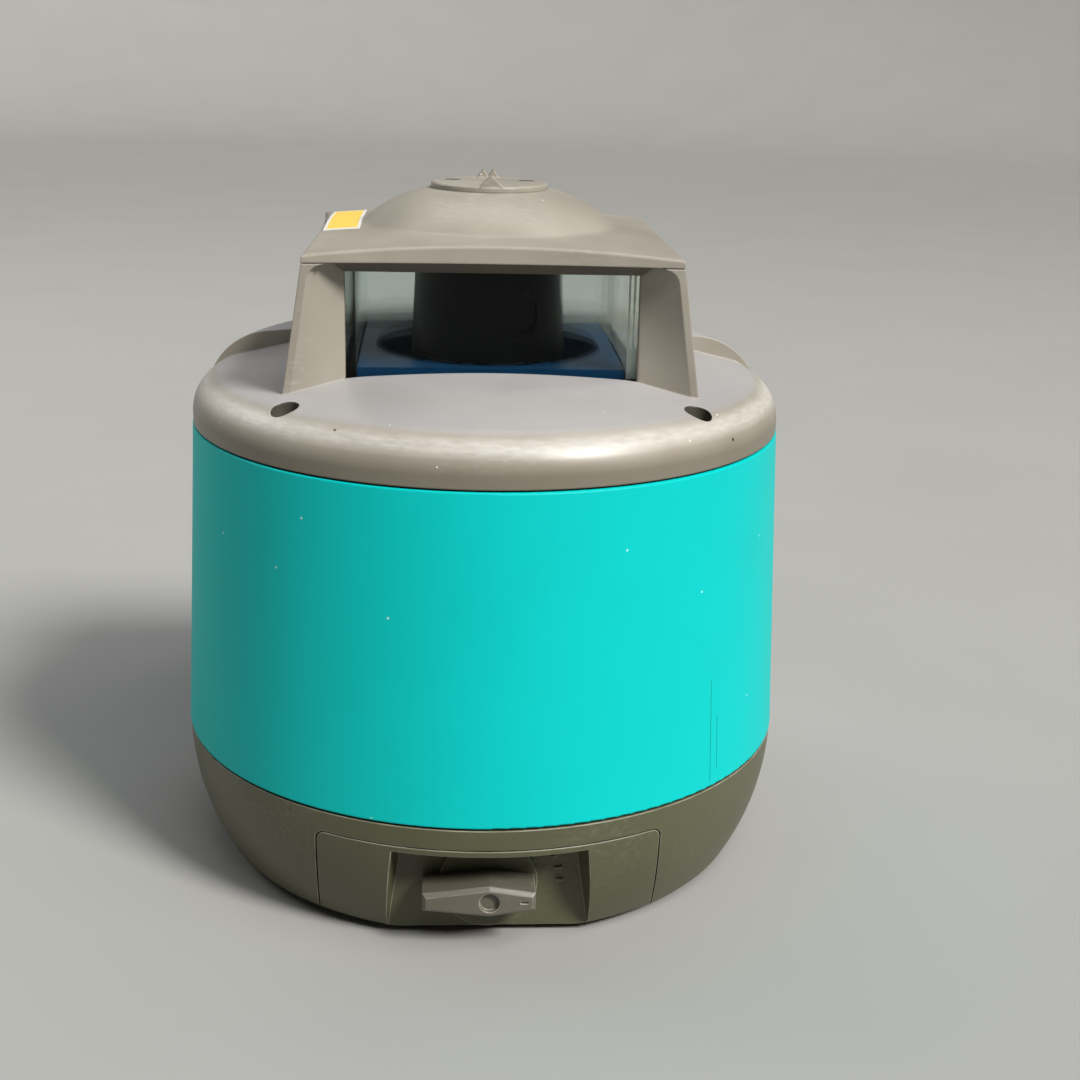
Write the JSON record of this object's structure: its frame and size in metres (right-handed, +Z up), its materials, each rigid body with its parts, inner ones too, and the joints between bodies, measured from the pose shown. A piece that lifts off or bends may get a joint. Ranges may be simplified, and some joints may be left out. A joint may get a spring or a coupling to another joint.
{
  "type": "rotary laser level",
  "caption": "Squat round rotary laser level: tapered body band between bulged base and rounded shoulder, square glazed lantern on top with a spinning prism turret, battery drawer below.",
  "frame": {"origin": "on the floor under the middle of the round body, at the mouth of the tripod thread", "axes": "+Z up the body axis; -Y towards the battery door; +X to the right of someone facing the door"},
  "size_m": [0.1792, 0.1792, 0.2009],
  "materials": {
    "brown_plastic": "fine satin texture, brown-grey",
    "teal_plastic": "satin, bright teal",
    "black_plastic": "matt black",
    "seal_rubber": "matt black rubber",
    "key_rubber": "matt dark grey rubber",
    "window_glass": "clear polished float glass",
    "optical_glass": "coated optical glass",
    "lamp_plastic": "clear moulded light pipe",
    "steel": "bright zinc plated",
    "motor_steel": "plain steel can",
    "light_alloy": "machined aluminium",
    "nut_plastic": "natural acetal",
    "board_laminate": "green solder mask",
    "contact_brass": "bright spring brass",
    "cell_sleeve": "plain dark sleeve on a metal can"
  },
  "bodies": {
    "housing": {"base_housing": "brown_plastic", "rubber_feet": "seal_rubber", "tripod_insert": "light_alloy", "insert_screws": "steel", "lower_seal": "seal_rubber", "body_band": "teal_plastic", "upper_seal": "seal_rubber", "top_cover": "brown_plastic", "tie_bolts": "steel", "lantern_base": "black_plastic", "lower_window_seal": "seal_rubber", "upper_window_seal": "seal_rubber", "window_front": "window_glass", "window_back": "window_glass", "window_right": "window_glass", "window_left": "window_glass", "roof_cap": "brown_plastic", "sight_disc": "black_plastic", "sight_screws": "steel", "control_panel": "black_plastic", "indicator_lenses": "lamp_plastic", "panel_board": "board_laminate", "chassis_plate": "light_alloy", "chassis_screws": "steel", "carrier_posts": "steel", "gimbal_carrier": "light_alloy", "outer_pivot_pins": "steel", "main_board": "board_laminate", "pitch_motor": "motor_steel", "roll_motor": "motor_steel", "contact_blades": "contact_brass"},
    "gimbal": {"gimbal_ring": "light_alloy", "inner_pivot_pins": "steel"},
    "laser_unit": {"laser_tube": "light_alloy", "laser_module": "light_alloy", "collimating_lens": "optical_glass", "level_vials": "optical_glass", "spindle_bearings": "steel", "spin_motor": "motor_steel", "drive_belt": "seal_rubber"},
    "turret": {"spindle": "light_alloy", "turret_shell": "black_plastic", "pentaprism": "optical_glass", "aperture_lens": "optical_glass"},
    "spin_pinion": {"motor_pulley": "light_alloy"},
    "pitch_lead_screw": {"pitch_screw": "steel"},
    "pitch_carriage": {"pitch_nut": "nut_plastic"},
    "roll_lead_screw": {"roll_screw": "steel"},
    "roll_carriage": {"roll_nut": "nut_plastic"},
    "battery_drawer": {"battery_door": "brown_plastic", "door_screws": "steel", "battery_tray": "black_plastic", "battery_cells": "cell_sleeve", "tray_contacts": "contact_brass", "latch_plate": "black_plastic"},
    "drawer_latch": {"latch_knob": "brown_plastic", "latch_cam": "black_plastic"},
    "power_key": {"power_button": "key_rubber"},
    "speed_key": {"speed_button": "key_rubber"},
    "alert_key": {"alert_button": "key_rubber"}
  },
  "joints": [
    {"name": "gimbal_pitch", "type": "hinge", "parent": "housing", "child": "gimbal", "pos_m": [0, 0, 0.104], "axis": [1, 0, 0], "range_deg": [-5, 5]},
    {"name": "tube_roll", "type": "hinge", "parent": "gimbal", "child": "laser_unit", "pos_m": [0, 0, 0.104], "axis": [0, 1, 0], "range_deg": [-5, 5]},
    {"name": "turret_spin", "type": "hinge", "parent": "laser_unit", "child": "turret", "pos_m": [0, 0, 0.115], "axis": [0, 0, 1], "continuous": true},
    {"name": "pinion_spin", "type": "hinge", "parent": "laser_unit", "child": "spin_pinion", "pos_m": [-0.02404, -0.02404, 0.12], "axis": [0, 0, 1], "continuous": true},
    {"name": "pitch_screw_turn", "type": "hinge", "parent": "housing", "child": "pitch_lead_screw", "pos_m": [0, 0.065, 0.085], "axis": [0, 0, 1], "range_deg": [-525, 525]},
    {"name": "pitch_nut_travel", "type": "slide", "parent": "housing", "child": "pitch_carriage", "axis": [0, 0, 1], "range_m": [-0.0045, 0.0045]},
    {"name": "roll_screw_turn", "type": "hinge", "parent": "housing", "child": "roll_lead_screw", "pos_m": [0.065, 0, 0.085], "axis": [0, 0, 1], "range_deg": [-525, 525]},
    {"name": "roll_nut_travel", "type": "slide", "parent": "housing", "child": "roll_carriage", "axis": [0, 0, 1], "range_m": [-0.0045, 0.0045]},
    {"name": "drawer_slide", "type": "slide", "parent": "housing", "child": "battery_drawer", "axis": [0, -1, 0], "range_m": [0, 0.07]},
    {"name": "latch_turn", "type": "hinge", "parent": "battery_drawer", "child": "drawer_latch", "pos_m": [0, -0.075, 0.016], "axis": [0, -1, 0], "range_deg": [0, 45]},
    {"name": "power_press", "type": "slide", "parent": "housing", "child": "power_key", "axis": [0, -0.6428, -0.766], "range_m": [0, 0.0008], "stiffness_N_per_m": 900, "springref_m": -0.0004},
    {"name": "speed_press", "type": "slide", "parent": "housing", "child": "speed_key", "axis": [0, -0.6428, -0.766], "range_m": [0, 0.0008], "stiffness_N_per_m": 900, "springref_m": -0.0004},
    {"name": "alert_press", "type": "slide", "parent": "housing", "child": "alert_key", "axis": [0, -0.6428, -0.766], "range_m": [0, 0.0008], "stiffness_N_per_m": 900, "springref_m": -0.0004}
  ],
  "couplings": [
    {"joint": "pinion_spin", "follows": "turret_spin", "ratio": 3.7473},
    {"joint": "pitch_nut_travel", "follows": "gimbal_pitch", "m_per_rad": 0.05},
    {"joint": "pitch_screw_turn", "follows": "gimbal_pitch", "ratio": -104.72},
    {"joint": "roll_nut_travel", "follows": "tube_roll", "m_per_rad": -0.05},
    {"joint": "roll_screw_turn", "follows": "tube_roll", "ratio": 104.72}
  ]
}
